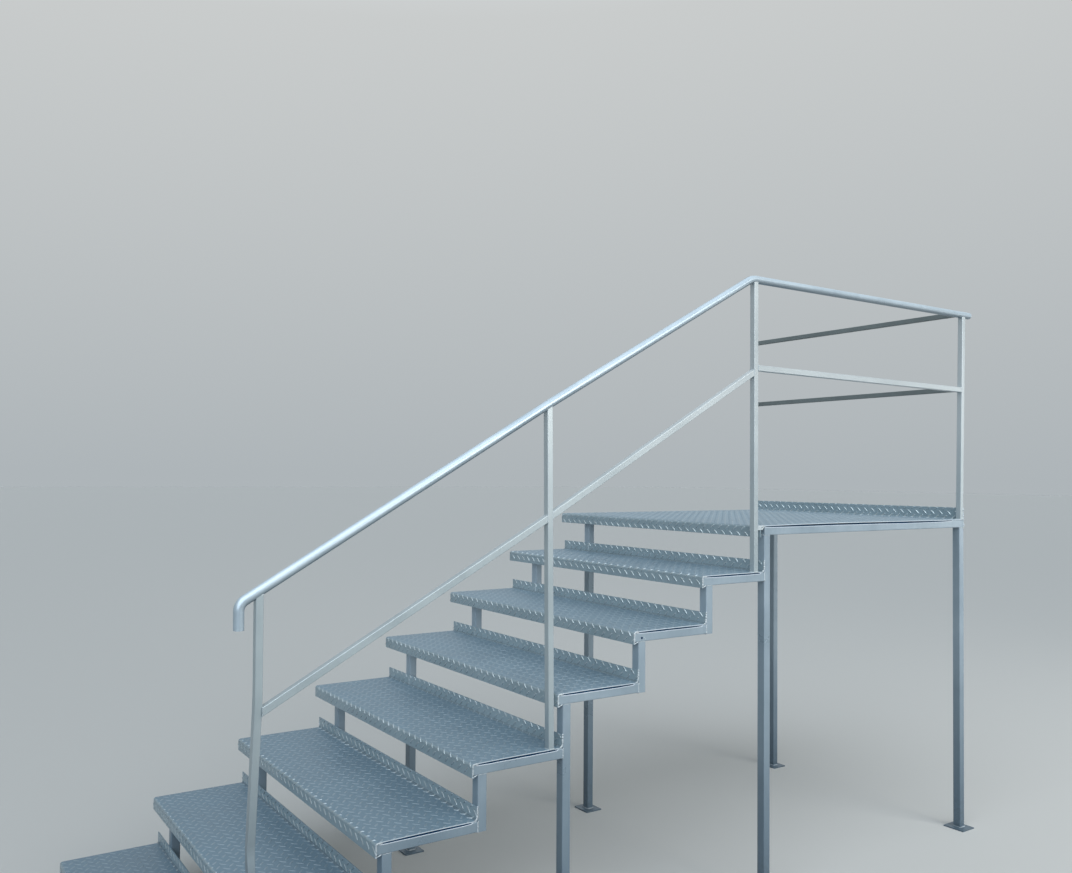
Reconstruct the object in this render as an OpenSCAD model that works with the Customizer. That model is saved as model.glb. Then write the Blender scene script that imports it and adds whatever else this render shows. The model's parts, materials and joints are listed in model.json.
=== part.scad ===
// Welded steel stair of seven treads up to a landing.
// Two zigzag stringers of square tube carry folded chequer plate treads;
// square posts stand on small base plates, and one side has a pipe handrail.
// X runs up the flight, Y from the rail side to the back, Z up.

/* [Flight] */
// Height of the landing's walking face above the undersides of the base plates
landing_h = 1270; // [1100:10:1500]
// Going of each step, nose to nose
going = 300; // [260:5:340]
// Width of the plates, from the rail side to the back
stair_w = 1080; // [800:10:1400]
// How much shorter the last going is than the others
last_going_less = 16; // [0:1:30]
// Length of the landing's frame, in the direction of the flight
landing_run = 1228; // [900:1:1600]

/* [Plates] */
// Thickness of the chequer plate
plate_t = 3; // [2:0.5:5]
// Outer radius of the folds in the plates
fold_r = 8; // [6:0.5:12]
// Depth of the flange folded down at each nose
nose_drop = 40; // [30:1:60]
// How far each nose stands out in front of the riser tube below it
nose_lap = 20; // [14:1:30]
// Height of the flange folded up at the back of a tread
tread_upstand = 38; // [20:1:60]
// Height of the flange folded up at the far end of the landing
landing_upstand = 48; // [20:1:80]

/* [Frame] */
// Side of the square tube of the stringers, posts and landing frame
tube = 30; // [25:1:50]
// Outer corner radius of that tube
tube_r = 3; // [1:0.5:5]
// How far the plates run past the back stringer
back_inset = 130; // [60:5:200]
// Side of the square base plate under each post
foot_w = 80; // [60:5:120]
// Thickness of the base plates
foot_t = 5; // [4:1:10]

/* [Rail] */
// Side of the square tube of the rail posts and knee rail
rail_tube = 20; // [15:1:30]
// Outer corner radius of the rail tube
rail_tube_r = 2; // [1:0.5:4]
// Outer diameter of the handrail pipe
pipe_d = 27; // [24:0.5:48]
// Distance from a rail post to the nose line of the step above it
rail_post_back = 12; // [8:1:40]
// Handrail centre above the plate that carries the low post
rail_h_low = 990; // [850:5:1100]
// Handrail centre above the plate that carries the middle post
rail_h_mid = 1012; // [850:1:1100]
// Handrail centre above the landing
rail_h_landing = 852; // [750:1:1000]
// Knee rail centre above the plate that carries the low post
knee_h_low = 691; // [500:1:760]
// Knee rail centre above the plate that carries the middle post
knee_h_mid = 684; // [500:1:760]
// Knee rail centre above the plate that carries the top post
knee_h_top = 692; // [500:1:760]
// Knee rail centre above the landing, at the top post
knee_h_landing = 545; // [400:1:650]
// How much lower the knee rail is at the corner post
knee_landing_sag = 7; // [0:1:15]
// How far the handrail's turned-down end stands in front of the low post
stub_lead = 50; // [35:1:90]
// Length of the turned-down end below the handrail's slope
stub_drop = 64; // [50:1:150]
// Bend radius of the turned-down end
stub_bend_r = 30; // [28:1:60]
// How far in front of the top post's middle the handrail turns level
top_bend_lead = 14; // [0:1:30]
// Bend radius where the handrail turns level over the landing
top_bend_r = 80; // [40:5:150]
// How far the handrail runs past the head of the corner post
rail_past_corner = 40; // [20:1:100]
// Sideways lean of the middle post's head, down the flight
mid_post_lean = 12; // [0:1:20]
// Sideways lean of the corner post's head, away from the flight
corner_post_lean = 20; // [0:1:25]
// How far the return rails stand past the foot of the corner post
return_shift = 10; // [0:1:16]

/* [Low post's bend] */
// How far the low post is knocked in towards the back at its lower kink
bow = 42; // [0:1:60]
// Height of the lower kink above the plate that carries the post
bow_low_h = 345; // [250:5:400]
// Height of the upper kink above that plate
bow_high_h = 725; // [600:5:780]

/* [Hidden] */
treads = 7;
top_step = treads + 1;
riser = landing_h / top_step;
// Steps whose noses stand on posts with base plates, and treads that carry rail posts
post_steps = [1, 5, top_step];
rail_steps = [1, 4, treads];

// Places along the flight
landing_nose_x = treads * going - last_going_less;
landing_frame_x = landing_nose_x + nose_lap;
landing_end_x = landing_frame_x + landing_run;
back_y = stair_w - back_inset - tube;
corner_post_x = landing_end_x - plate_t - rail_tube;
joist_x = landing_frame_x + (landing_run - tube) / 2;
under_deck = plate_t + tube;

// Rail posts: left faces and the faces they stand on
low_post_x = rail_post_x(rail_steps[0]);
mid_post_x = rail_post_x(rail_steps[1]);
top_post_x = rail_post_x(rail_steps[2]);
low_post_z = deck_z(rail_steps[0]);
mid_post_z = deck_z(rail_steps[1]);
top_post_z = deck_z(rail_steps[2]);

// Handrail centre line, in the XZ plane over the rail posts
pipe_r = pipe_d / 2;
rail_y = rail_tube / 2;
rail_low = [low_post_x + rail_tube / 2, low_post_z + rail_h_low];
rail_mid = [mid_post_x + rail_tube / 2 - mid_post_lean, mid_post_z + rail_h_mid];
rail_top = [top_post_x + rail_tube / 2 - top_bend_lead, landing_h + rail_h_landing];
rail_end = [corner_post_x + rail_tube + corner_post_lean + rail_past_corner, rail_top[1]];
low_slope = (rail_mid[1] - rail_low[1]) / (rail_mid[0] - rail_low[0]);
stub_top = [rail_low[0] - stub_lead, rail_low[1] - stub_lead * low_slope];
stub_foot = stub_top - [0, stub_drop];
stub_reach = bend_reach(stub_foot, stub_top, rail_mid, stub_bend_r);
elbow_end = stub_top + direction(stub_top, rail_mid) * stub_reach;
top_reach = bend_reach(rail_mid, rail_top, rail_end, top_bend_r);

// Centre lines of the knee rails
knee_low = [rail_low[0], low_post_z + knee_h_low];
knee_mid = [mid_post_x + rail_tube / 2, mid_post_z + knee_h_mid];
knee_top = [top_post_x + rail_tube / 2, top_post_z + knee_h_top];
knee_start = [top_post_x + rail_tube, landing_h + knee_h_landing];
knee_end = [corner_post_x + rail_tube, knee_start[1] - knee_landing_sag];

// Undersides of the return rails: one flush with the handrail's top, one level with the knee rail
return_x = corner_post_x + return_shift;
return_top_z = rail_top[1] + pipe_r - rail_tube;
return_knee_z = landing_h + knee_h_landing - knee_landing_sag / 2 - rail_tube / 2;

// Half extents of the whole stair, to set the origin under its middle
min_x = min(nose_x(1), post_x(1) + (tube - foot_w) / 2);
max_x = rail_end[0];
min_y = (tube - foot_w) / 2;
mid_x = (min_x + max_x) / 2;
mid_y = (min_y + stair_w) / 2;

paint = [0.62, 0.69, 0.74];
plate_paint = [0.47, 0.55, 0.61];
rail_paint = [0.75, 0.83, 0.89];

// Front face of the nose of step k, the landing being the last step
function nose_x(k) = k == top_step ? landing_nose_x : (k - 1) * going;
// Left face of the riser tube or post under that nose
function post_x(k) = nose_x(k) + nose_lap;
// Left face of the rail post that stands on tread k, just in front of the next nose
function rail_post_x(k) = nose_x(k + 1) - rail_post_back - rail_tube;
// Walking face of step k
function deck_z(k) = k * riser;
// Whether a full-height post takes the place of the riser tube under step k
function on_post(k) = len(search(k, post_steps)) > 0;
function direction(a, b) = (b - a) / norm(b - a);
function heading(a, b) = atan2(b[1] - a[1], b[0] - a[0]);
function turn(a, b, c) = heading(a, b) - heading(b, c);
function bend_reach(a, b, c, r) = r * tan(turn(a, b, c) / 2);

// Everything sits over the middle of the stair's footprint
module placed() {
    translate([-mid_x, -mid_y, 0]) children();
}

// Cross-section of square tube with rounded corners, corner at the origin
module section(side, r) {
    translate([r, 0]) square([side - 2 * r, side]);
    translate([0, r]) square([side, side - 2 * r]);
    for (x = [r, side - r], y = [r, side - r]) translate([x, y]) circle(r, $fn = 32);
}

module tube_z(length, side = tube, r = tube_r) {
    linear_extrude(length) section(side, r);
}

module tube_x(length, side = tube, r = tube_r) {
    translate([0, 0, side]) rotate([0, 90, 0]) tube_z(length, side, r);
}

module tube_y(length, side = tube, r = tube_r) {
    translate([0, length, 0]) rotate([90, 0, 0]) tube_z(length, side, r);
}

// Quarter ring of a fold, centred on the origin, in the quadrant towards [sx, sy]
module fold(sx, sy) {
    intersection() {
        difference() {
            circle(fold_r, $fn = 48);
            circle(fold_r - plate_t, $fn = 48);
        }
        translate([sx < 0 ? -fold_r : 0, sy < 0 ? -fold_r : 0]) square(fold_r);
    }
}

// Plate folded down at its nose and up at its back, walking face at the origin's level
module folded_plate(depth, upstand) {
    translate([0, stair_w, 0]) rotate([90, 0, 0]) linear_extrude(stair_w) {
        translate([0, -nose_drop]) square([plate_t, nose_drop - fold_r]);
        translate([fold_r, -fold_r]) fold(-1, 1);
        translate([fold_r, -plate_t]) square([depth - 2 * fold_r, plate_t]);
        translate([depth - fold_r, fold_r - plate_t]) fold(1, -1);
        translate([depth - plate_t, fold_r - plate_t])
            square([plate_t, upstand + plate_t - fold_r]);
    }
}

// Room inside the bend of a nose that the end of the tube behind it leaves free
module inside_nose() {
    bend_r = fold_r - plate_t;
    translate([plate_t, stair_w, -fold_r]) rotate([90, 0, 0]) linear_extrude(stair_w)
        difference() {
            square(bend_r);
            translate([bend_r, 0]) circle(bend_r, $fn = 48);
        }
}

module tread(k) {
    color(plate_paint) placed() translate([nose_x(k), 0, deck_z(k)])
        folded_plate(post_x(k + 1) - nose_x(k), tread_upstand);
}

module landing_plate() {
    color(plate_paint) placed() translate([landing_nose_x, 0, landing_h])
        folded_plate(landing_end_x - landing_nose_x, landing_upstand);
}

// Level tube under tread k, and the riser tube welded under its nose end.
// The riser's foot is level with the underside of the tube below.
module step_bracket(k, y) {
    color(paint) placed() {
        difference() {
            translate([nose_x(k) + plate_t, y, deck_z(k) - under_deck])
                tube_x(post_x(k + 1) - nose_x(k) - plate_t);
            translate([nose_x(k), 0, deck_z(k)]) inside_nose();
        }
        if (!on_post(k))
            translate([post_x(k), y, deck_z(k) - under_deck]) mirror([0, 0, 1]) tube_z(riser);
    }
}

// Post with its base plate, up to the underside of the tube that it carries
module footed_post(x, y, top) {
    color(paint) placed() translate([x, y, 0]) {
        translate([(tube - foot_w) / 2, (tube - foot_w) / 2, 0]) cube([foot_w, foot_w, foot_t]);
        translate([0, 0, foot_t]) tube_z(top - foot_t);
    }
}

module step_post(k, y) {
    footed_post(post_x(k), y, deck_z(k) - under_deck);
}

module landing_long_beam(y) {
    color(paint) placed() translate([landing_frame_x, y, landing_h - under_deck])
        tube_x(landing_run);
}

// Beam across the landing, between the two long beams
module landing_cross_beam(x) {
    color(paint) placed() translate([x, tube, landing_h - under_deck])
        tube_y(back_y - tube);
}

// Handrail centre line drawn flat, then stood up over the rail posts
module pipe_length(a, b) {
    translate(a) rotate([0, 0, heading(a, b)]) rotate([0, 90, 0])
        cylinder(h = norm(b - a), r = pipe_r, $fn = 48);
}

// Bend to the right at b, on the way from a to c
module pipe_bend(a, b, c, r) {
    start = b - direction(a, b) * bend_reach(a, b, c, r);
    centre = start + r * [sin(heading(a, b)), -cos(heading(a, b))];
    translate(centre) rotate([0, 0, heading(b, c) + 90])
        rotate_extrude(angle = turn(a, b, c), $fn = 96) translate([r, 0]) circle(pipe_r, $fn = 48);
}

// Stands the flat drawing up in the plane of the rail posts
module over_posts() {
    translate([0, rail_y, 0]) rotate([90, 0, 0]) children();
}

// Lower length, from the elbow's end to the middle post
module pipe_low() {
    over_posts() pipe_length(elbow_end, rail_mid);
}

// Upper length, from the middle post to the bend
module pipe_high() {
    over_posts() pipe_length(rail_mid, rail_top - direction(rail_mid, rail_top) * top_reach);
}

// Bend over the top post
module pipe_top() {
    over_posts() pipe_bend(rail_mid, rail_top, rail_end, top_bend_r);
}

// Level length over the landing
module pipe_level() {
    over_posts() pipe_length(rail_top + [top_reach, 0], rail_end);
}

module handrail_low() {
    color(rail_paint) placed() pipe_low();
}

module handrail_high() {
    color(rail_paint) placed() pipe_high();
}

module handrail_bend() {
    color(rail_paint) placed() pipe_top();
}

module handrail_landing() {
    color(rail_paint) placed() pipe_level();
}

module handrail_elbow() {
    color(rail_paint) placed() over_posts() pipe_bend(stub_foot, stub_top, rail_mid, stub_bend_r);
}

module handrail_end() {
    color(rail_paint) placed() over_posts() pipe_length(stub_foot, stub_top - [0, stub_reach]);
}

// Post that stands on a plate at z and leans along X by lean at its head
module leaning_post(x, z, top, lean) {
    intersection() {
        translate([x, 0, z]) rotate([0, atan2(lean, top - z), 0])
            translate([0, 0, -rail_tube]) tube_z(top - z + 2 * rail_tube, rail_tube, rail_tube_r);
        translate([x - rail_tube, 0, z]) cube([3 * rail_tube, rail_tube, top - z]);
    }
}

// Block in the place of a leaning post, from the post's left side at x
module leaning_block(x, z, top, lean) {
    translate([x, 0, z]) rotate([0, atan2(lean, top - z), 0])
        translate([0, -rail_tube, 0]) cube([rail_tube, 3 * rail_tube, top - z]);
}

// The low post: knocked in at its lower kink and back in line from the upper one
module bowed_post(x, z, top) {
    head = top - z;
    translate([x, 0, z]) rotate([90, 0, 90]) linear_extrude(rail_tube)
        polygon([[0, 0], [rail_tube, 0], [bow + rail_tube, bow_low_h], [rail_tube, bow_high_h],
            [rail_tube, head], [0, head], [0, bow_high_h], [bow, bow_low_h]]);
}

module rail_post_low() {
    color(paint) placed() difference() {
        bowed_post(low_post_x, low_post_z, rail_low[1]);
        pipe_low();
    }
}

module rail_post_mid() {
    color(paint) placed() difference() {
        leaning_post(mid_post_x, mid_post_z, rail_mid[1], -mid_post_lean);
        pipe_low();
        pipe_high();
    }
}

module rail_post_top() {
    color(paint) placed() difference() {
        leaning_post(top_post_x, top_post_z, rail_top[1], 0);
        pipe_top();
    }
}

module rail_post_corner() {
    color(paint) placed() difference() {
        leaning_post(corner_post_x, landing_h, rail_top[1], corner_post_lean);
        pipe_level();
    }
}

// Knee rail whose centre line runs from a to b, cut plumb at both ends
module knee_bar(a, b) {
    intersection() {
        translate([a[0], 0, a[1]]) rotate([0, -heading(a, b), 0])
            translate([-rail_tube, 0, -rail_tube / 2])
                tube_x(norm(b - a) + 2 * rail_tube, rail_tube, rail_tube_r);
        translate([a[0], 0, min(a[1], b[1]) - rail_tube])
            cube([b[0] - a[0], rail_tube, abs(b[1] - a[1]) + 2 * rail_tube]);
    }
}

// Point of the line from a to b at x
function on_line(a, b, x) = [x, a[1] + (b[1] - a[1]) * (x - a[0]) / (b[0] - a[0])];

module knee_rail_low() {
    color(paint) placed() difference() {
        knee_bar(on_line(knee_low, knee_mid, low_post_x + rail_tube), knee_mid);
        leaning_block(mid_post_x, mid_post_z, rail_mid[1], -mid_post_lean);
    }
}

module knee_rail_high() {
    color(paint) placed() difference() {
        knee_bar(knee_mid, on_line(knee_mid, knee_top, top_post_x));
        leaning_block(mid_post_x, mid_post_z, rail_mid[1], -mid_post_lean);
    }
}

module knee_rail_landing() {
    color(paint) placed() difference() {
        knee_bar(knee_start, knee_end);
        leaning_block(corner_post_x, landing_h, rail_top[1], corner_post_lean);
    }
}

// Rail from the corner post back across the landing's end
module return_rail(z) {
    translate([return_x, rail_tube, z]) tube_y(stair_w - rail_tube, rail_tube, rail_tube_r);
}

module return_rail_top() {
    color(paint) placed() difference() {
        return_rail(return_top_z);
        pipe_level();
    }
}

module return_rail_knee() {
    color(paint) placed() return_rail(return_knee_z);
}

for (k = [1 : treads]) {
    tread(k);
    step_bracket(k, 0);
    step_bracket(k, back_y);
}
landing_plate();
step_post(1, 0);  // front_foot_post
step_post(1, back_y);  // back_foot_post
step_post(post_steps[1], 0);  // front_mid_post
step_post(post_steps[1], back_y);  // back_mid_post
step_post(top_step, 0);  // landing_post_front_left
step_post(top_step, back_y);  // landing_post_back_left
footed_post(landing_end_x - tube, 0, landing_h - under_deck);  // landing_post_front_right
footed_post(landing_end_x - tube, back_y, landing_h - under_deck);  // landing_post_back_right
landing_long_beam(0);  // landing_front_beam
landing_long_beam(back_y);  // landing_back_beam
landing_cross_beam(landing_frame_x);  // landing_left_beam
landing_cross_beam(landing_end_x - tube);  // landing_right_beam
landing_cross_beam(joist_x);  // landing_joist
rail_post_low();
rail_post_mid();
rail_post_top();
rail_post_corner();
handrail_low();
handrail_high();
handrail_bend();
handrail_landing();
handrail_elbow();
handrail_end();
knee_rail_low();
knee_rail_high();
knee_rail_landing();
return_rail_top();
return_rail_knee();
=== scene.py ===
"""Looks of the welded steel stair: chequer plate, painted tube and pipe, weld beads and open seams."""

import json
import math
import random

import bpy
from mathutils import Matrix, Vector


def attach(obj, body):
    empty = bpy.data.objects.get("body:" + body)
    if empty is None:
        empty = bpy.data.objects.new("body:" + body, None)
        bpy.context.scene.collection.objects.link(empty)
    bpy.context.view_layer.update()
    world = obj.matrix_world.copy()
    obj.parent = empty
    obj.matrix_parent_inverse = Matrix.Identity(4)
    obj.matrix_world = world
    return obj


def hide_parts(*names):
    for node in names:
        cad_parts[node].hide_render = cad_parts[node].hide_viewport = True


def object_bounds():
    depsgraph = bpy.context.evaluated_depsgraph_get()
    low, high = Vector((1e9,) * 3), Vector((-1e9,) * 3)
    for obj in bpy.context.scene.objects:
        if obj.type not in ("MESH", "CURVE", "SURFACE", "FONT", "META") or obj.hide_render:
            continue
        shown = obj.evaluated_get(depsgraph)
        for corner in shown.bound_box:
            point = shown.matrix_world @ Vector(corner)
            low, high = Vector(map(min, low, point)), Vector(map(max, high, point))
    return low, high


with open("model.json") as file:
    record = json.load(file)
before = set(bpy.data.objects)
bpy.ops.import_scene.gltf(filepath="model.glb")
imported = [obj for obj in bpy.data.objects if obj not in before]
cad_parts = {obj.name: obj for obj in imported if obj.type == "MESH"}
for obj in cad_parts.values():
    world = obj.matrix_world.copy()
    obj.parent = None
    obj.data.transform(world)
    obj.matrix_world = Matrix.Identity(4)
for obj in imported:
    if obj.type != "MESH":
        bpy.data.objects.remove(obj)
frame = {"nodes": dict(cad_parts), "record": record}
cad_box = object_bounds()

# Driving sizes of the stair, in metres
TREADS, GOING, RISER, WIDTH = 7, 0.300, 0.15875, 1.080
LAST_LESS, NOSE_LAP, BEAM, BACK_INSET = 0.016, 0.020, 1.228, 0.130
PLATE, FOLD, NOSE_DROP, TREAD_UP, LANDING_UP = 0.003, 0.008, 0.040, 0.038, 0.048
TUBE, TUBE_R, FOOT, FOOT_T = 0.030, 0.003, 0.080, 0.005
RAIL, RAIL_R, PIPE_R, POST_BACK = 0.020, 0.002, 0.0135, 0.012
# How far the heads of the middle post and the corner post lean
MID_LEAN, CORNER_LEAN = 0.012, 0.020
# Middles of the handrail and the knee rails above the plates that carry the posts, and the last one's sag
HAND_LOW, HAND_MID, HAND_LANDING = 0.990, 1.012, 0.852
KNEE_LOW, KNEE_MID, KNEE_TOP, KNEE_LANDING, KNEE_SAG = 0.691, 0.684, 0.692, 0.545, 0.007


def nose_x(k):
    """Front of plate k's nose, counted up from the feet; the landing comes after the last tread."""
    return (k - 1) * GOING - (LAST_LESS if k > TREADS else 0)


def post_x(k):
    """Left face of the riser tube or post under plate k's nose."""
    return nose_x(k) + NOSE_LAP


def deck_z(k):
    """Walking face of plate k."""
    return k * RISER


def rail_post_x(k):
    """Left face of the rail post that stands on plate k."""
    return nose_x(k + 1) - POST_BACK - RAIL


# Places worked out from the driving sizes
LANDING, UNDER, BACK_Y = TREADS + 1, PLATE + TUBE, WIDTH - BACK_INSET - TUBE
LAND, LEFT = deck_z(LANDING), post_x(LANDING)
LANDING_END, RIGHT, JOIST = LEFT + BEAM, LEFT + BEAM - TUBE, LEFT + (BEAM - TUBE) / 2
# The plates that carry the low, middle and top rail posts, and the left faces of all four posts
ON_LOW, ON_MID, ON_TOP = 1, 4, TREADS
LOW_X, MID_X, TOP_X = rail_post_x(ON_LOW), rail_post_x(ON_MID), rail_post_x(ON_TOP)
CORNER_X = LANDING_END - PLATE - RAIL
# The frame's origin lies under the stair's middle, and its box starts at the corner of the first foot plate
MIDDLE_X = post_x(1) + (TUBE - FOOT) / 2 - float(cad_box[0][0])
MIDDLE_Y = (TUBE - FOOT) / 2 - float(cad_box[0][1])


def place(x, y, z):
    """A point of the stair, measured from the first nose, the rail side and the feet."""
    return (x - MIDDLE_X, y - MIDDLE_Y, z)


# Materials
def linear(hex_colour):
    """A colour written as sRGB hex, in linear light."""
    parts = [int(hex_colour[i:i + 2], 16) / 255 for i in (1, 3, 5)]
    return tuple(c / 12.92 if c <= 0.04045 else ((c + 0.055) / 1.055) ** 2.4 for c in parts) + (1.0,)


def add(tree, kind, values=None, out=0, stops=(), **settings):
    """Adds a node with its settings, its inputs (numbers or sockets to link) and the stops of a ramp.

    Gives the output named or numbered out, or the node where it has none.
    """
    node = tree.nodes.new("ShaderNode" + kind)
    for key, value in settings.items():
        setattr(node, key, value)
    for key, value in (values or {}).items():
        if isinstance(value, bpy.types.NodeSocket):
            tree.links.new(value, node.inputs[key])
        else:
            node.inputs[key].default_value = value
    if stops:
        elements = node.color_ramp.elements
        while len(elements) < len(stops):
            elements.new(0.5)
        for element, (position, value) in zip(elements, stops):
            element.position = position
            element.color = value if isinstance(value, tuple) else (value, value, value, 1)
    return node.outputs[out] if node.outputs else node


def seen(tree):
    """1 where the eye sees a surface directly, in a mirror or through glass, 0 for the light it sends on."""
    rays = add(tree, "LightPath").node.outputs
    mirrored = add(tree, "Math", {0: rays["Is Camera Ray"], 1: rays["Is Glossy Ray"]}, operation="ADD")
    return add(tree, "Math", {0: mirrored, 1: rays["Is Transmission Ray"]}, operation="ADD", use_clamp=True)


# Sizes of the paint's patterns, in millimetres: clouds in its colour, dimples of its orange peel, specks,
# chips, and a brush stroke's width and length. Orange peel is really about 1 mm across, too fine to show in
# the render, and is drawn four times as coarse
CLOUD, DIMPLE, SPECK, CHIP, BRUSH_WIDTH, BRUSH_LENGTH = 250, 3.846, 13.33, 26.32, 18.18, 333.3
# Tones laid over all the paint: dust, painted shade on the underside and painted light on the tops
DUST, UNDERSIDE_SHADE, LIT_TOP = "#8d8f8a", "#37434d", "#dfe5e7"
# Painted shade towards the feet, the dirt splashed on the paint there, and the primer in its chips
FEET_SHADE, SPLASH, PRIMER = "#3f596c", "#55626a", "#5b5a55"
# Heights between which the painted light comes in towards the top, and up to which the feet are splashed
LIT_FROM, LIT_TO, SPLASH_TO = 1.15, 1.75, 0.20


def paint(name, main, shade, pale, rough, peel=0.12, dust=0.35, dust_colour=DUST, chips=0.0, bump=0.0004,
          coat=0.0, metallic=0.0, walked_and_shaded=None, glint=0.0, feet_shade=0.8, top_light=0.0, sheen=0.5, under=0.0):
    """Brushed-on steel paint: cloudy colour, orange peel, dust on upward faces, dirt splashed near the feet.

    peel is the depth of the orange peel beside the specks, and bump the height of both in metres.
    walked_and_shaded holds the two tones of upward faces, partly foot wear and partly painted shade. glint is
    the metal rubbed bare on steep faces, feet_shade the painted shade towards the feet, top_light the painted
    light towards the top, sheen the strength of the highlights, and under the painted shade on the underside.
    """
    material = bpy.data.materials.new(name)
    material.use_nodes = True
    tree = material.node_tree
    tree.nodes.clear()
    where = add(tree, "TexCoord", out="Object")
    up = add(tree, "SeparateXYZ", {0: add(tree, "NewGeometry", out="Normal")}, "Z")
    height = add(tree, "SeparateXYZ", {0: where}, "Z")
    cloud = add(tree, "TexNoise", {"Vector": where, "Scale": 1000 / CLOUD, "Detail": 6.0, "Roughness": 0.6})
    dimples = add(tree, "TexNoise", {"Vector": where, "Scale": 1000 / DIMPLE, "Detail": 3.0})
    specks = add(tree, "TexNoise", {"Vector": where, "Scale": 1000 / SPECK, "Detail": 5.0, "Roughness": 0.7})
    along = (1000 / BRUSH_WIDTH, 1000 / BRUSH_WIDTH, 1000 / BRUSH_LENGTH)
    brushed = add(tree, "Mapping", {"Vector": where, "Scale": along})
    streaks = add(tree, "TexNoise", {"Vector": brushed, "Scale": 1.0, "Detail": 4.0})

    # What lies over the cloudy paint, from its brush streaks outwards, each with the share that it covers
    tones = [(0.28, linear(shade)), (0.52, linear(main)), (0.80, linear(pale))]
    colour = add(tree, "ValToRGB", {0: cloud}, stops=tones)
    coats = [(add(tree, "ValToRGB", {0: streaks}, stops=[(0.45, 0.0), (0.75, 0.30)]), linear(shade))]
    # Upward faces take darker tones: partly foot wear, partly painted shade on the tops
    if walked_and_shaded:
        top_tones = [(0.30, linear(walked_and_shaded[0])), (0.70, linear(walked_and_shaded[1]))]
        coats.append((add(tree, "ValToRGB", {0: up}, stops=[(0.70, 0.0), (0.97, 0.92)]),
                      add(tree, "ValToRGB", {0: cloud}, stops=top_tones)))
    # Dust settles on upward faces, thickest where the specks are light
    flat = add(tree, "ValToRGB", {0: up}, stops=[(0.55, 0.0), (0.95, dust)])
    uneven = add(tree, "ValToRGB", {0: specks}, stops=[(0.30, 0.35), (0.70, 1.0)])
    settled = add(tree, "Math", {0: flat, 1: uneven}, operation="MULTIPLY")
    coats.append((settled, linear(dust_colour)))
    # Painted light: the paint is drawn lighter towards the top
    if top_light:
        lit_top_share = add(tree, "MapRange", {0: height, 1: LIT_FROM, 2: LIT_TO, 3: 0.0, 4: top_light})
        coats.append((lit_top_share, linear(LIT_TOP)))
    # Painted shade: the paint is drawn darker towards the feet
    fall = [(0.0, 0.95 * feet_shade), (0.30, 0.72 * feet_shade), (0.50, 0.46 * feet_shade), (0.70, 0.14 * feet_shade), (1.0, 0.0)]
    coats.append((add(tree, "ValToRGB", {0: height}, stops=fall), linear(FEET_SHADE)))
    if under:
        # Painted shade on the underside: darker as the faces turn down
        coats.append((add(tree, "MapRange", {0: up, 1: 0.10, 2: -0.65, 3: 0.0, 4: under}), linear(UNDERSIDE_SHADE)))
    low = add(tree, "MapRange", {0: height, 1: 0.0, 2: SPLASH_TO, 3: 0.70, 4: 0.0})
    spatter = add(tree, "ValToRGB", {0: specks}, stops=[(0.40, 0.1), (0.65, 1.0)])
    coats.append((add(tree, "Math", {0: low, 1: spatter}, operation="MULTIPLY"), linear(SPLASH)))
    if chips:
        spots = add(tree, "TexNoise", {"Vector": where, "Scale": 1000 / CHIP, "Detail": 8.0,
                                       "Roughness": 0.75})
        coats.append((add(tree, "ValToRGB", {0: spots}, stops=[(0.70, 0.0), (0.74, chips)]), linear(PRIMER)))
    for share, over in coats:
        colour = add(tree, "Mix", {0: share, 6: colour, 7: over}, 2, data_type="RGBA")

    # Clouds and dust roughen the paint, and orange peel and specks stand up in it
    satin = add(tree, "MapRange", {0: cloud, 1: 0.3, 2: 0.7, 3: max(rough - 0.07, 0.05), 4: rough + 0.09})
    roughness = add(tree, "Math", {0: satin, 1: settled}, operation="ADD")
    peeled = add(tree, "Math", {0: dimples, 1: peel}, operation="MULTIPLY")
    tall = add(tree, "Math", {0: peeled, 1: specks}, operation="ADD")
    relief = add(tree, "Bump", {"Height": tall, "Distance": bump, "Strength": 0.6})
    if glint:
        # Rubbed bright on the steep faces only
        metallic = add(tree, "ValToRGB", {0: up}, stops=[(0.50, glint), (0.88, 0.15 * glint)])
    shader = add(tree, "BsdfPrincipled", {"Base Color": colour, "Roughness": roughness, "Normal": relief,
                                          "Metallic": metallic, "Specular IOR Level": sheen,
                                          "Coat Weight": coat, "Coat Roughness": 0.25})
    add(tree, "OutputMaterial", {"Surface": shader})
    return material


# Paint brushed on square steel tube: a satin, silvery blue-grey with soft clouds and small chips
TUBE_PAINT = paint("Satin blue-grey paint on square tube", "#a6b8c4", "#95a8b4", "#b4c5cf", 0.32,
                   dust=0.18, dust_colour="#a9adab", chips=0.5, coat=0.15, metallic=0.25)
# The same paint on the slim rails and rail posts: smoother and paler, with painted light towards the top
RAIL_PAINT = paint("Satin pale grey paint on rail tube", "#b9c6ca", "#adbbc0", "#c3cfd3", 0.35,
                   peel=0.05, bump=0.00002, dust=0.12, dust_colour="#b9bcb9", chips=0.08, coat=0.05,
                   metallic=0.35, feet_shade=0.95, top_light=0.45)
# The same paint on the return rails, made darker and flatter as painted shade
RETURN_SHADED_PAINT = paint("Grey paint on return rails, darkened as painted shade", "#818b8b", "#767f7f", "#8d9797", 0.42,
                     peel=0.05, bump=0.00002, dust=0.30, dust_colour="#c2c6c4", chips=0.1)
# Silvery paint on steel pipe, polished by hands: a long bright highlight over an underside darkened with
# painted shade
PIPE_PAINT = paint("Hand-polished silver-blue paint on pipe", "#c2d3de", "#b2c4d0", "#cddce6", 0.33,
                   peel=0.02, bump=0.00003, dust=0.0, chips=0.2, metallic=0.5, feet_shade=0.0, under=0.45)
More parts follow.
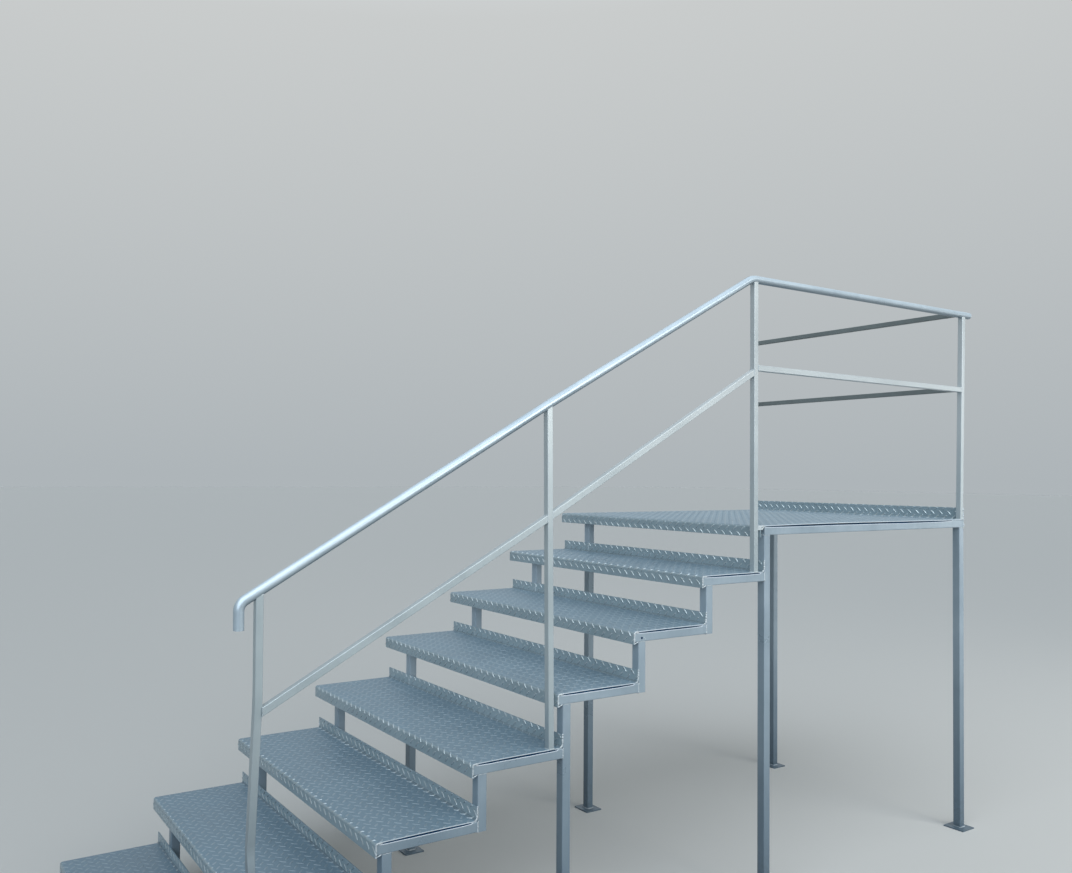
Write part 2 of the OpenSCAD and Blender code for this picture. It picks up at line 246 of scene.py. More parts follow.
# Paint on rolled chequer plate: darker and bluer on its upward faces, partly worn by feet and partly painted
# shade, and a little dusty
PLATE_PAINT = paint("Trodden blue-grey paint on chequer plate", "#a0b4bc", "#93a8b0", "#adc0c7", 0.32,
                    dust=0.22, dust_colour="#8798a0", chips=0.3, feet_shade=0.33, walked_and_shaded=("#7591a4", "#819daf"))
# The plate's rolled tears: rubbed to a glint on the flanges, and on upward faces the deck's darker tones,
# partly wear and partly painted shade
TEAR_PAINT = paint("Scuffed paint on raised tears", "#bccacf", "#b0bfc4", "#c8d4d8", 0.26,
                   dust=0.10, dust_colour="#8e9fa8", feet_shade=0.3, walked_and_shaded=("#8ba2af", "#98aebb"), glint=0.65)
# Painted highlight on the plates' sheared edges and on the tubes' shoulders below the seams: pale and shiny
EDGE_HIGHLIGHT = paint("Painted highlight on cut plate edges", "#d9e6ef", "#c9d7e0", "#e7f1f7", 0.20,
                   dust=0.0, coat=0.5, feet_shade=0.4)
# Thick paint over the lumps of the welds: the glossiest, and the palest as a painted highlight
WELD_HIGHLIGHT_PAINT = paint("Weld bead paint, pale as a painted highlight", "#d0dbdf", "#b4c2c8", "#e6edef", 0.22,
                   peel=0.4, bump=0.0012, dust=0.0, coat=0.6, feet_shade=0.5)
# Painted shade in the fold at the back of each tread: a soft grey line without shine
FOLD_SHADE = paint("Painted shade in the plate's fold", "#85979f", "#7a8c94", "#90a2aa", 0.50, dust=0.0)
# Painted shade in the open seams under the plates' edges: a blue so dark that it reads as a gap
SEAM_SHADE = paint("Painted shade in open seams", "#1c3e5c", "#15314c", "#244868", 1.0, dust=0.0, feet_shade=0.0, sheen=0.0)

# Finishes of the CAD nodes: by the first two words of a node's name, or else by its slot
# The return rails take the darker paint, as painted shade
BY_NAME = {"rail_post": RAIL_PAINT, "knee_rail": RAIL_PAINT, "return_rail": RETURN_SHADED_PAINT}
BY_SLOT = {"frame_paint": TUBE_PAINT, "rail_paint": PIPE_PAINT, "plate_paint": PLATE_PAINT}
for entry in frame["record"]["subparts"]:
    name = entry["node"]
    for slot in frame["nodes"][name].material_slots:
        slot.material = BY_NAME.get("_".join(name.split("_")[:2]), BY_SLOT[entry["material_slot"]])


# Meshes
def piece(name, verts, faces, material, slot):
    """A smooth-shaded piece that rides on the stair."""
    mesh = bpy.data.meshes.new(name)
    mesh.from_pydata(verts, [], faces)
    mesh.validate()
    mesh.update()
    mesh.materials.append(material)
    mesh.polygons.foreach_set("use_smooth", [True] * len(mesh.polygons))
    shape = bpy.data.objects.new(name, mesh)
    bpy.context.scene.collection.objects.link(shape)
    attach(shape, "root")
    return shape


def ease(shape, width=0.0):
    """Rounds a piece's sharp edges by width, and keeps its flat faces flat."""
    if width:
        bevel = shape.modifiers.new("Edges", "BEVEL")
        bevel.width, bevel.segments = width, 2
        bevel.limit_method, bevel.angle_limit = "ANGLE", math.radians(40)
    weighted = shape.modifiers.new("Normals", "WEIGHTED_NORMAL")
    weighted.keep_sharp = True


def tube_faces(rings, sides):
    """The side faces of a tube whose outline has so many sides and is drawn rings times."""
    return [(a + i, a + (i + 1) % sides, a + (i + 1) % sides + sides, a + i + sides)
            for a in range(0, (rings - 1) * sides, sides) for i in range(sides)]


# Chequer plates, from the lowest tread to the landing: where the first tear lies, up from the nose flange's
# edge and in from the open side; how far the open edge has sprung up; and how tall the painted shade below it
# is
SHEETS = [(0.0260, 0.0120, 0.0013, 0.0050),
          (0.0153, 0.0060, 0.0013, 0.0050),
          (0.0195, 0.0080, 0.0013, 0.0050),
          (0.0360, 0.0135, 0.0013, 0.0053),
          (0.0330, 0.0250, 0.0011, 0.0053),
          (0.0320, 0.0216, 0.0009, 0.0048),
          (0.0178, 0.0168, 0.0009, 0.0050),
          (0.0070, 0.0256, 0.0035, 0.0064)]
# How far in from its open edge a deck has come loose, and the lines across the plate where its mesh can bend
LOOSE, ACROSS = 0.10, (0.0, 0.02, 0.04, 0.07, 0.10, 0.3, 0.6, 0.9, WIDTH)
# Rounding of the sheets' edges
EASED = 0.0007


class Plate:
    """A folded plate: its walking face unrolled along s, and where each point of it lies."""

    def __init__(self, k):
        self.first_s, self.first_y, self.spring, self.dark = SHEETS[k - 1]
        self.landing = k == LANDING
        self.node = "landing_plate" if self.landing else "tread_%d" % k
        self.x0, self.z0 = nose_x(k), deck_z(k)
        self.depth = (LANDING_END if self.landing else post_x(k + 1)) - self.x0
        # Along s: nose flange, its fold, deck, the inner fold at the back, upstand
        self.inner = FOLD - PLATE
        self.s1 = NOSE_DROP - FOLD
        self.s2 = self.s1 + FOLD * math.pi / 2
        self.s3 = self.s2 + self.depth - 2 * FOLD
        self.s4 = self.s3 + self.inner * math.pi / 2
        self.s5 = self.s4 + (LANDING_UP if self.landing else TREAD_UP) - self.inner

    def at(self, s, drop=0.0):
        """Where s lies along and up the stair, drop below the walking face."""
        if s < self.s1:
            x, z, n = 0.0, s - NOSE_DROP, (-1, 0)
        elif s < self.s2:
            a = (s - self.s1) / FOLD
            n = (-math.cos(a), math.sin(a))
            x, z = FOLD + FOLD * n[0], -FOLD + FOLD * n[1]
        elif s < self.s3:
            x, z, n = FOLD + s - self.s2, 0.0, (0, 1)
        elif s < self.s4:
            a = (s - self.s3) / self.inner
            n = (-math.sin(a), math.cos(a))
            x, z = self.depth - FOLD - self.inner * n[0], self.inner - self.inner * n[1]
        else:
            x, z, n = self.depth - PLATE, self.inner + s - self.s4, (-1, 0)
        return self.x0 + x - drop * n[0], self.z0 + z - drop * n[1]

    def lift(self, s, y):
        """How far the open edge of the deck has sprung up off its tube, between the welds at its ends."""
        if not self.s2 < s < self.s3:
            return 0.0
        u, near = (s - self.s2) / (self.s3 - self.s2), max(0.0, 1 - y / LOOSE)
        arch = math.sin(math.pi * u)
        if self.landing:
            # Most of all in its first half
            arch = math.sqrt(arch) * (0.55 + 0.45 * math.cos(4.0 * u - 0.9))
        return self.spring * near * near * arch

    def nose_line(self, count):
        """The last count of 15 points along the open edge of the nose flange and round its fold."""
        line = [self.at(0.004 + (self.s2 + 0.010) * i / 14, PLATE * 0.75) for i in range(15 - count, 15)]
        return [(x, 0.0002, z) for x, z in line]


def cuts(a, b, n):
    """The ends of n equal lengths from a to b."""
    return [a + (b - a) * i / n for i in range(1, n + 1)]


def sheet(plate):
    """The folded sheet, with a painted highlight on its sheared edges and painted shade in the fold at its
    back.
    """
    s_list = [0.0, plate.s1] + cuts(plate.s1, plate.s2, 8) + cuts(plate.s2, plate.s3, 24)
    s_list += cuts(plate.s3, plate.s4, 8) + [plate.s5]
    around = [(s, 0.0) for s in s_list] + [(s, PLATE) for s in reversed(s_list)]
    verts, n = [], len(around)
    for y in ACROSS:
        for s, drop in around:
            x, z = plate.at(s, drop)
            verts.append(place(x, y, z + plate.lift(s, y)))
    faces = tube_faces(len(ACROSS), n)
    last, edges = (len(ACROSS) - 1) * n, len(faces)
    for i in range(len(s_list) - 1):
        facing = n - 1 - i
        faces.append((i, facing, facing - 1, i + 1))
        faces.append((last + i, last + i + 1, last + facing - 1, last + facing))
    shape = piece(plate.node + "_sheet", verts, faces, PLATE_PAINT, "plate_paint")
    shape.data.materials.append(EDGE_HIGHLIGHT)
    shape.data.materials.append(FOLD_SHADE)
    fold = [i for i, s in enumerate(s_list) if plate.s3 <= s < plate.s4]
    for i, polygon in enumerate(shape.data.polygons):
        # The first two edge faces, those of the nose flange, take the painted highlight on the treads alone
        if i >= edges + (2 if plate.landing else 0):
            polygon.material_index = 1
        # The fold at the back of a tread takes painted shade
        elif i % n in fold and not plate.landing:
            polygon.material_index = 2
    ease(shape, EASED)
    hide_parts(plate.node)


# Rolled tears: half length, half width, height on the flanges and where feet have worn them, and how far
# their rims are sunk in the sheet
TEAR_A, TEAR_B, TEAR_H, WORN_H, SUNK = 0.0130, 0.0036, 0.0017, 0.0009, 0.0002
# Pitch of the tears that lie the same way, along the treads, along the landing and across
PITCH_S, LANDING_PITCH, PITCH_Y = 0.0388, 0.0393, 0.0345
# How far sheared tears stay off the sheet's edge, and how near to it the middle of a tear may lie
SHEARED, NEAREST = 0.0005, 0.001
TEAR_SIDES = 10
TEAR_RIM = [(math.cos(t) * (0.55 + 0.45 * abs(math.cos(t))), math.sin(t))
            for t in (i * math.pi / 5 for i in range(TEAR_SIDES))]


def on_sheet(start, step, high):
    """Share of a step from start that stays on a sheet which ends at 0 and high."""
    return ((high - SHEARED if step > 0 else SHEARED) - start) / step if step else 1.0


def tears(plate, draws):
    """Raised tears over the whole sheet, bent with it round the folds and sheared at its edges."""
    verts, faces, sheared = [], [], []
    length, pitch, slant = plate.s5, LANDING_PITCH if plate.landing else PITCH_S, math.sqrt(0.5)
    for way, ds, dy in ((1, 0.0, 0.0), (-1, pitch / 2, PITCH_Y / 2)):
        for i in range(-1, int(length / pitch) + 2):
            for j in range(-1, int(WIDTH / PITCH_Y) + 2):
                s, y = plate.first_s + ds + i * pitch, plate.first_y + dy + j * PITCH_Y
                if not (NEAREST < s < length - NEAREST and NEAREST < y < WIDTH - NEAREST):
                    continue
                h = (WORN_H if plate.s2 < s < plate.s3 else TEAR_H) * draws.uniform(0.8, 1.1)
                base, cut = len(verts), []
                for along, across, tall in ((1.0, 1.0, -SUNK), (0.88, 0.42, 0.92 * h), (0.74, 0.14, h)):
                    for u, v in TEAR_RIM:
                        u, v = slant * u * TEAR_A * along, slant * v * TEAR_B * across
                        u, v = u - way * v, way * u + v
                        share = min(1.0, on_sheet(s, u, length), on_sheet(y, v, WIDTH))
                        qs, qy = s + share * u, y + share * v
                        cut.append(share < 1.0)
                        x, z = plate.at(qs, -tall)
                        verts.append(place(x, qy, z + plate.lift(qs, qy)))
                for face in tube_faces(3, TEAR_SIDES):
                    faces.append([base + a for a in face])
                    sheared.append(all(cut[a] for a in face))
                faces.append(range(base + 2 * TEAR_SIDES, base + 3 * TEAR_SIDES))
                sheared.append(False)
    shape = piece(plate.node + "_tears", verts, faces, TEAR_PAINT, "plate_paint")
    shape.data.polygons.foreach_set("use_smooth", [not flat for flat in sheared])


sheets = {k: Plate(k) for k in range(1, LANDING + 1)}
draws = random.Random(7)
for plate in sheets.values():
    sheet(plate)
    tears(plate, draws)


# The knocked low rail post: how far it stands in at its lower kink, and both kinks' heights above its tread
BOW, BOW_LOW, BOW_HIGH = 0.042, 0.345, 0.725
# Heights over which each kink is spread, and rings up the post
SPREAD, POST_RINGS = (-0.030, -0.015, 0.0, 0.015, 0.030), 97
# The dent at the lower kink: half its height, its depth, and how much it flattens and swells the tube
DENT, DENT_DEPTH, FLATTENED, SWOLLEN = 0.022, 0.0012, 0.16, 0.07


def bow(z):
    """How far the low post stands in towards the back at z above its tread."""
    def sharp(h):
        if h < BOW_LOW:
            return BOW * h / BOW_LOW
        return max(0.0, BOW * (BOW_HIGH - h) / (BOW_HIGH - BOW_LOW))
    return sum(sharp(z + d) for d in SPREAD) / len(SPREAD) - sharp(0.0)


def bent_post():
    """The low rail post with rounded kinks, dented on its open side and swollen a little beside the dent."""
    half, flat, ring, verts, near = RAIL / 2, RAIL / 2 - RAIL_R, [], [], 0.002
    for quarter, (sx, sy) in enumerate(((1, 1), (-1, 1), (-1, -1), (1, -1))):
        for i in range(5):
            a = math.radians(90 * quarter + 90 * i / 4)
            ring.append((sx * flat + RAIL_R * math.cos(a), sy * flat + RAIL_R * math.sin(a)))
    for i in range(POST_RINGS):
        z = HAND_LOW * i / (POST_RINGS - 1)
        dent = math.exp(-((z - BOW_LOW) / DENT) ** 2)
        ends = z <= 0.01 or z >= HAND_LOW - 0.01
        slope = 0.0 if ends else (bow(z + near) - bow(z - near)) / (2 * near)
        for u, v in ring:
            v2 = v * (1 - FLATTENED * dent) + (DENT_DEPTH * dent if v < 0 else 0)
            verts.append(place(LOW_X + half + u * (1 + SWOLLEN * dent), half + bow(z) + v2,
                               deck_z(ON_LOW) + z - v2 * slope))
    n = len(ring)
    faces = tube_faces(POST_RINGS, n) + [range(n - 1, -1, -1), range((POST_RINGS - 1) * n, POST_RINGS * n)]
    shape = piece("rail_post_low_bent", verts, faces, RAIL_PAINT, "frame_paint")
    ease(shape)
    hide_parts("rail_post_low")


bent_post()


# Weld beads: the distance between the rings of a bead, and its sides
RIPPLE, BEAD_SIDES = 0.0016, 7
# How far beads stop short of a tube's corners
SHORT = 0.001
# Radii of the beads across a tube's joint, on its side and round a nose, on the treads and on the landing
JOINT_R, SIDE_R, NOSE_R = 0.0021, 0.0009, 0.0026
LANDING_JOINT_R, LANDING_SIDE_R, LANDING_NOSE_R = 0.0022, 0.0010, 0.0028
# Round a tube's end, under a cross beam, at a plate's corner, behind a nose flange and an upstand, and filler
END_R, CROSS_R, CORNER_R, FLANGE_R, UPSTAND_R, FILLER_R = 0.0020, 0.0016, 0.0024, 0.0018, 0.0016, 0.0038
# Round a foot and a rail post's foot, across a rail post's head, and round a knee rail's end
FOOT_R, POST_R, HEAD_R, KNEE_R = 0.0030, 0.0018, 0.0011, 0.0014
# Lumps up a plate's back corner, on its top, below it, at a nose's foot, and the smaller one beside the pit
LUMP_R, TOP_LUMP_R, LOW_LUMP_R, NOSE_LUMP_R, PIT_LUMP_R = 0.0028, 0.0042, 0.0034, 0.0030, 0.0026


class Beads:
    """Collects rippled weld beads and makes them one piece."""

    def __init__(self, name, seed):
        self.name, self.verts, self.faces, self.draws = name, [], [], random.Random(seed)

    def run(self, points, r, lump=0.16):
        """A bead of radius r along points, rougher where lump is more."""
        path = []
        for p, q in zip(points, points[1:]):
            p, q = Vector(p), Vector(q)
            steps = max(2, int((q - p).length / RIPPLE))
            path += [p.lerp(q, i / steps) for i in range(steps)]
        path.append(Vector(points[-1]))
        base, last, drift = len(self.verts), len(path) - 1, self.draws.uniform(0, 6.3)
        for i, p in enumerate(path):
            ahead = (path[min(i + 1, last)] - path[max(i - 1, 0)]).normalized()
            side = ahead.cross(Vector((0.3, 0.5, 0.81))).normalized()
            other = ahead.cross(side)
            taper = min(1.0, 0.35 + 0.4 * min(i, last - i))
            wave = 0.6 * math.sin(0.7 * i + drift) + 0.5 * math.sin(1.3 * i + 2.7 * drift)
            swell = r * taper * (1 + 0.05 * math.sin(2.6 * i) + lump * (wave + self.draws.uniform(-0.3, 0.3)))
            for j in range(BEAD_SIDES):
                a = 2 * math.pi * j / BEAD_SIDES
                self.verts.append(place(*(p + (side * math.cos(a) + other * math.sin(a)) * swell)))
        self.faces += [[base + a for a in face] for face in tube_faces(len(path), BEAD_SIDES)]
        self.faces.append(range(base + BEAD_SIDES - 1, base - 1, -1))
        self.faces.append(range(base + last * BEAD_SIDES, base + (last + 1) * BEAD_SIDES))

    def across(self, x, y, z, r):
        """A bead along the width of a 30 mm tube, under its end."""
        self.run([(x, y + SHORT, z), (x, y + TUBE - SHORT, z)], r)

    def along(self, x, y, z, r):
        """A bead along the length of the stair, on the side of a 30 mm tube."""
        self.run([(x + SHORT, y, z), (x + TUBE - SHORT, y, z)], r)

    def ring(self, x, y, z, side, r):
        """A bead round a square post of that side, its corner at x, y."""
        self.run([(x, y, z), (x + side, y, z), (x + side, y + side, z), (x, y + side, z), (x, y, z)], r)

    def blob(self, x, y, z, r):
        """A lump of radius r, a little taller than wide."""
        self.run([(x, y, z - r * 0.7), (x + r * 0.1, y, z + r * 0.7)], r, lump=0.3)

    def done(self):
        """Makes the beads one painted piece."""
        # Their pale paint is a painted highlight
        piece(self.name, self.verts, self.faces, WELD_HIGHLIGHT_PAINT, "frame_paint")


# The tread whose nose weld has an open pit, and the pit's middle behind its nose and below its deck
PITTED, PIT_BACK, PIT_DOWN = 6, 0.033, 0.022
# Half the pit's width and height
PIT_A, PIT_B = 0.0042, 0.0040


def open_side_beads(beads, k):
    """Tread k's beads on the open side: round its nose, up its back corner and behind its nose flange."""
    plate, nose, end, deck = sheets[k], nose_x(k), post_x(k + 1), deck_z(k)
    beads.run(plate.nose_line(15), NOSE_R, lump=0.22)
    # The back corner is lumpy, with the largest lump on top of the upstand
    beads.run([(end - 0.012, 0.0, deck - 0.0005), (end - 0.004, 0.0, deck + 0.004),
               (end - 0.0015, 0.0, deck + 0.012), (end - 0.0015, 0.0, deck + TREAD_UP - 0.003)],
              CORNER_R, lump=0.5)
    for i in range(4):
        beads.blob(end - 0.0012 + 0.001 * math.sin(5 * i + k), 0.0, deck + 0.008 + 0.0075 * i, LUMP_R)
    beads.blob(end - 0.0005, 0.0005, deck + TREAD_UP - 0.001, TOP_LUMP_R)
    beads.blob(end + 0.001, 0.0, deck - 0.004, LOW_LUMP_R)
    # From the foot of the nose flange back to the riser tube
    beads.blob(nose + 0.0035, 0.0008, deck - NOSE_DROP + 0.0015, NOSE_LUMP_R)
    beads.run([(nose + 0.004, 0.0012, deck - NOSE_DROP + 0.002), (post_x(k) - 0.001, 0.0012, deck - UNDER)],
              FLANGE_R, lump=0.3)
    if k == PITTED:
        beads.blob(nose + PIT_BACK + 0.010, 0.0, deck - PIT_DOWN + 0.001, NOSE_LUMP_R)
        beads.blob(nose + PIT_BACK + 0.015, 0.0, deck - PIT_DOWN - 0.004, PIT_LUMP_R)


def stringer_beads(name, seed, y):
    """Beads of the stringer at y: under each level tube, at its end and at the tread on it."""
    beads = Beads(name, seed)
    for k in range(1, TREADS + 1):
        x, end, deck = post_x(k), post_x(k + 1), deck_z(k)
        low, top = deck - UNDER, deck - PLATE
        for edge in (x, x + TUBE):
            beads.across(edge, y, low, JOINT_R)
        for face in (y, y + TUBE):
            beads.along(x, face, low, SIDE_R)
        beads.run([(end, y, low - 0.001), (end, y, top)], JOINT_R, lump=0.3)
        beads.run([(end, y, low), (end, y + TUBE, low), (end, y + TUBE, top)], END_R)
        if y:
            flange = nose_x(k) + PLATE
            beads.run([(flange, y, deck - NOSE_DROP + 0.008), (flange, y, low)], FLANGE_R)
            beads.run([(end - PLATE, y, deck + 0.002), (end - PLATE, y, deck + 0.030)], UPSTAND_R)
        else:
            open_side_beads(beads, k)
    beads.done()


def landing_beads():
    """Beads of the landing: posts under its beams, cross beams and joist between them, and its plate."""
    beads, low, top = Beads("welds_landing", 5), LAND - UNDER, LAND - PLATE
    for x, edges in ((LEFT, (LEFT, LEFT + TUBE)), (RIGHT, (RIGHT,))):
        for y in (0.0, BACK_Y):
            for edge in edges:
                beads.across(edge, y, low, LANDING_JOINT_R)
            beads.along(x, y, low, LANDING_SIDE_R)
    for x in (LEFT, JOIST, RIGHT):
        for y in (TUBE, BACK_Y):
            for edge in (x, x + TUBE):
                beads.run([(edge, y, low + 0.002), (edge, y, top)], END_R)
            beads.run([(x, y, low), (x + TUBE, y, low)], CROSS_R)
    beads.run(sheets[LANDING].nose_line(7), LANDING_NOSE_R, lump=0.22)
    # The far corner is built up with a rough run of weld from the beam to the post's foot
    for i in range(9):
        beads.blob(LANDING_END - 0.0015 + 0.002 * math.sin(i * 2.3), 0.001, LAND - 0.030 + i * 0.0085,
                   TOP_LUMP_R + 0.0010 * math.sin(i * 1.7))
    beads.run([(CORNER_X, 0.0, LAND + 0.001), (LANDING_END, 0.0, LAND + 0.001)], CORNER_R, lump=0.3)
    # Filler between the top rail post and the landing's nose
    for down, less in ((0.0030, 0.0), (0.0075, 0.003), (0.0125, 0.008)):
        beads.run([(TOP_X + RAIL - 0.001, 0.0038, LAND - down),
                   (LEFT + 0.004 - less, 0.0034, LAND - down + 0.0008)], FILLER_R, lump=0.20)
    beads.done()


def foot_beads():
    """Beads round the posts on their base plates."""
    beads = Beads("welds_feet", 9)
    for x in (post_x(1), post_x(5), LEFT, RIGHT):
        for y in (0.0, BACK_Y):
            beads.ring(x, y, FOOT_T + 0.0012, TUBE, FOOT_R)
    beads.done()


# Slope of the handrail down the flight, and over the top post, where it is on its way to level
HAND_SLOPE, BEND_SLOPE = math.radians(29.2), 0.28


def rail_beads():
    """Beads at the feet and heads of the rail posts, and at the ends of the knee rails."""
    beads, half, knee_z = Beads("welds_rail", 13), RAIL / 2, LAND + KNEE_LANDING
    for x, k in ((LOW_X, ON_LOW), (MID_X, ON_MID), (TOP_X, ON_TOP), (CORNER_X, LANDING)):
        beads.ring(x, 0.0, deck_z(k) + 0.0005, RAIL, POST_R)

    # A bead across each side of a post's head, under the pipe
    for x, z, a in ((LOW_X, deck_z(ON_LOW) + HAND_LOW, HAND_SLOPE),
                    (MID_X - MID_LEAN, deck_z(ON_MID) + HAND_MID, HAND_SLOPE),
                    (TOP_X, LAND + HAND_LANDING, BEND_SLOPE),
                    (CORNER_X + CORNER_LEAN, LAND + HAND_LANDING, 0.0)):
        for dx in (-half, half):
            side, head = x + half + dx, z - PIPE_R / math.cos(a) + dx * math.tan(a)
            beads.run([(side, 0.005, head + 0.0016), (side, 0.010, head + 0.0004),
                       (side, 0.015, head + 0.0016)], HEAD_R)

    # A bead round the end of each knee rail, which runs from a to b, where it meets a post's face at x
    low, mid = (LOW_X + half, deck_z(ON_LOW) + KNEE_LOW), (MID_X + half, deck_z(ON_MID) + KNEE_MID)
    top = (TOP_X + half, deck_z(ON_TOP) + KNEE_TOP)
    start, end = (TOP_X + RAIL, knee_z), (CORNER_X + RAIL, knee_z - KNEE_SAG)
    mid_face = MID_X - MID_LEAN * KNEE_MID / HAND_MID
    corner_face = CORNER_X + CORNER_LEAN * (KNEE_LANDING - KNEE_SAG) / HAND_LANDING
    for x, a, b in ((LOW_X + RAIL, low, mid), (mid_face, low, mid),
                    (mid_face + RAIL, mid, top), (TOP_X, mid, top),
                    (TOP_X + RAIL, start, end), (corner_face, start, end)):
        slope = (b[1] - a[1]) / (b[0] - a[0])
        z, rise = a[1] + slope * (x - a[0]), half * math.hypot(1.0, slope)
        beads.run([(x, 0.0, z - rise), (x, 0.0, z + rise), (x, RAIL, z + rise), (x, RAIL, z - rise),
                   (x, 0.0, z - rise)], KNEE_R)
    beads.done()


stringer_beads("welds_front_stringer", 3, 0.0)
stringer_beads("welds_back_stringer", 11, BACK_Y)
landing_beads()
foot_beads()
rail_beads()


# Painted shade in the open seams under the plates' edges: how clear it lies of the paint, how far in it
# starts, and the length of its steps
CLEAR, FAR_IN, SEAM_STEP = 0.00012, 0.012, 0.006
# The painted highlight on the tube's shoulder below the painted shade: points down from the shade's lower
# edge, and how far they stand out
SHOULDER = ((-0.0001, 0.00014), (0.0006, 0.0006), (0.0018, 0.0006), (0.0025, 0.0002), (0.0027, 0.0))


def face_in(h):
    """How far in the tube's side lies at h below its top, round its edge."""
    if h <= 0:
        return TUBE_R
    return TUBE_R - math.sqrt(TUBE_R ** 2 - (TUBE_R - h) ** 2) if h < TUBE_R else 0.0


def seam_section(plate, x, open_share):
    """The painted shade and the painted highlight across a seam at x, the shade open_share of its full
    height.
    """
    low = open_share * (plate.dark - plate.lift(plate.s2 + x - plate.x0 - FOLD, 0.0))
    deep, r, level = math.asin(max(0.0, 1 - low / TUBE_R)), TUBE_R + CLEAR, plate.z0 - PLATE
    round_edge = [math.pi / 2 + (deep - math.pi / 2) * j / 5 for j in range(6)]
    dark = [(FAR_IN, CLEAR)] + [(TUBE_R - r * math.cos(a), r * math.sin(a) - TUBE_R) for a in round_edge]
    dark.append((face_in(low + 0.0001) - CLEAR, -low - 0.0001))
    bright = [(face_in(low + down) - out, -low - down) for down, out in SHOULDER]
    return [[place(x, y, level + z) for y, z in line] for line in (dark, bright)]


def seams(spans):
    """Dark strips of painted shade in the open seams, and a painted highlight on the tube's shoulder just
    below them.
    """
    shade_strips, shoulder = ([], []), ([], [])
    for plate, x0, x1, seed in spans:
        n, sections = max(12, int((x1 - x0) / SEAM_STEP)), []
        for i in range(n + 1):
            u = i / n
            open_share = math.sin(math.pi * u) ** 0.25
            open_share *= 0.93 + 0.07 * math.sin(seed + 19 * u) * math.cos(2 * seed + 7 * u)
            sections.append(seam_section(plate, x0 + (x1 - x0) * u, open_share))
        for (verts, faces), strip in zip((shade_strips, shoulder), zip(*sections)):
            base, m = len(verts), len(strip[0])
            for line in strip:
                verts += line
            for i in range(n):
                for a in range(base + i * m, base + i * m + m - 1):
                    faces.append((a, a + 1, a + m + 1, a + m))
    # Painted shade in the seams, and a painted highlight on the tube below them
    piece("seam_painted_shade", *shade_strips, SEAM_SHADE, "frame_paint")
    piece("seam_shoulder_highlight", *shoulder, EDGE_HIGHLIGHT, "frame_paint")


# How far in each seam starts and ends: on a tread from its nose and from the riser tube behind it, and on the
# landing from its left post and from its far end
SEAM_FROM, SEAM_LESS, LANDING_FROM, LANDING_LESS = 0.010, 0.016, 0.002, 0.080
seams([(sheets[k], nose_x(k) + SEAM_FROM, post_x(k + 1) - SEAM_LESS, k * 1.3) for k in range(1, TREADS + 1)]
      + [(sheets[LANDING], LEFT + LANDING_FROM, LANDING_END - LANDING_LESS, 0.9)])


def open_pit_shade():
    """The pit left open in a nose weld, drawn as painted shade: a dark three-lobed mark just proud of the
    tube.
    """
    x, z, edge = nose_x(PITTED) + PIT_BACK, deck_z(PITTED) - PIT_DOWN, []
    for i in range(9):
        a = 2 * math.pi * i / 9
        lobe = 1 + 0.3 * math.sin(3 * a)
        edge.append(place(x + PIT_A * math.cos(a) * lobe, -0.0004, z + PIT_B * math.sin(a)))
    # The pit's dark is painted shade
    piece("open_pit_shade", edge, [range(9)], SEAM_SHADE, "frame_paint")


open_pit_shade()


# Camera, fitted to the photograph: its size and the lens in pixels, and where the camera stands and looks
PHOTO_W, PHOTO_H, LENS, AXIS_X, AXIS_Y = 1072, 873, 913.42, 431.13, 457.77
STAND, YAW, PITCH, ROLL = (-2.1993, -2.6555, 1.4371), 0.5369, 0.0185, 0.0082
camera_data = bpy.data.cameras.new("Camera")
camera = bpy.data.objects.new("Camera", camera_data)
bpy.context.scene.collection.objects.link(camera)
forward = Vector((math.sin(YAW) * math.cos(PITCH), math.cos(YAW) * math.cos(PITCH), math.sin(PITCH)))
right = Vector((math.cos(YAW), -math.sin(YAW), 0.0))
upward = right.cross(forward)
right, upward = (right * math.cos(ROLL) + upward * math.sin(ROLL),
                 upward * math.cos(ROLL) - right * math.sin(ROLL))
camera.matrix_world = Matrix.Translation(STAND) @ Matrix((right, upward, -forward)).transposed().to_4x4()
camera_data.sensor_fit = "HORIZONTAL"
camera_data.sensor_width = 36.0
camera_data.lens = LENS / PHOTO_W * camera_data.sensor_width
camera_data.shift_x = (PHOTO_W / 2 - AXIS_X) / PHOTO_W
camera_data.shift_y = (AXIS_Y - PHOTO_H / 2) / PHOTO_W
bpy.context.scene.camera = camera

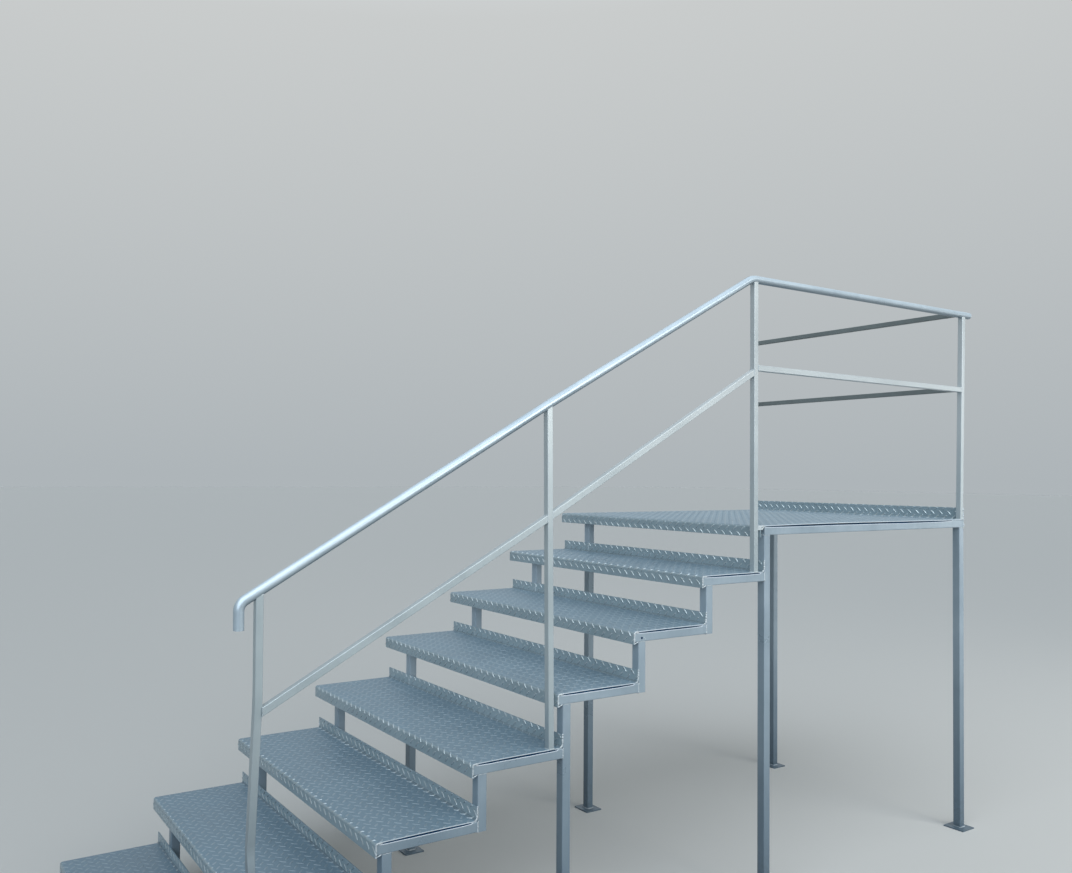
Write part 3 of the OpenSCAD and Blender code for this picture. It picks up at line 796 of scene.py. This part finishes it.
# Studio: a pale backdrop that rises to a bright ceiling, and a dimmer world that lights the stair
world = bpy.data.worlds.new("Studio")
bpy.context.scene.world = world
world.use_nodes = True
tree = world.node_tree
rise = add(tree, "SeparateXYZ", {0: add(tree, "TexCoord", out="Generated")}, "Z")
backdrop = add(tree, "ValToRGB", {0: rise}, stops=[(0.0, linear("#aeb5b9")), (0.45, linear("#c9cccc")),
                                                   (0.62, linear("#e4eaee")), (0.95, (1.25, 1.32, 1.40, 1))])
around = add(tree, "Mix", {0: seen(tree), 6: linear("#6d757a"), 7: backdrop}, 2, data_type="RGBA")
tree.links.new(around, tree.nodes["Background"].inputs["Color"])
bpy.context.scene.view_settings.view_transform = "Standard"


def lamp(name, kind, at, aim, size, power, colour):
    """A square lamp of that size in metres, or a sun of that size in degrees."""
    data = bpy.data.lights.new(name, kind)
    data.energy, data.color = power, linear(colour)[:3]
    if kind == "AREA":
        data.shape, data.size = "SQUARE", size
    else:
        data.angle = math.radians(size)
    light = bpy.data.objects.new(name, data)
    light.location = at
    light.rotation_euler = (Vector(aim) - Vector(at)).to_track_quat("-Z", "Y").to_euler()
    bpy.context.scene.collection.objects.link(light)


lamp("Overhead", "SUN", (-2.2, -3.0, 3.1), (0.0, 0.0, 0.0), 76, 2.1, "#ecf3fb")
lamp("Front", "AREA", (2.6, -6.0, 3.6), (0.2, 0.0, 1.0), 4.0, 170, "#fbf8f3")
lamp("Right", "AREA", (6.5, -2.5, 1.6), (-0.5, -0.3, 1.2), 2.0, 18, "#fbf7f2")

# Floor, which reaches further than the camera sees
REACH = 90
floor_mesh = bpy.data.meshes.new("Floor")
floor_mesh.from_pydata([(-REACH, -REACH, 0), (REACH, -REACH, 0), (REACH, REACH, 0), (-REACH, REACH, 0)], [],
                       [(0, 1, 2, 3)])
floor = bpy.data.objects.new("Floor", floor_mesh)
bpy.context.scene.collection.objects.link(floor)
floor_finish = bpy.data.materials.new("Plain pale floor")
floor_finish.use_nodes = True
tree = floor_finish.node_tree
shown = add(tree, "Mix", {0: seen(tree), 6: linear("#7b7c7c"), 7: linear("#dcddda")}, 2, data_type="RGBA")
tree.links.new(shown, tree.nodes["Principled BSDF"].inputs["Base Color"])
tree.nodes["Principled BSDF"].inputs["Roughness"].default_value = 0.9
floor_mesh.materials.append(floor_finish)
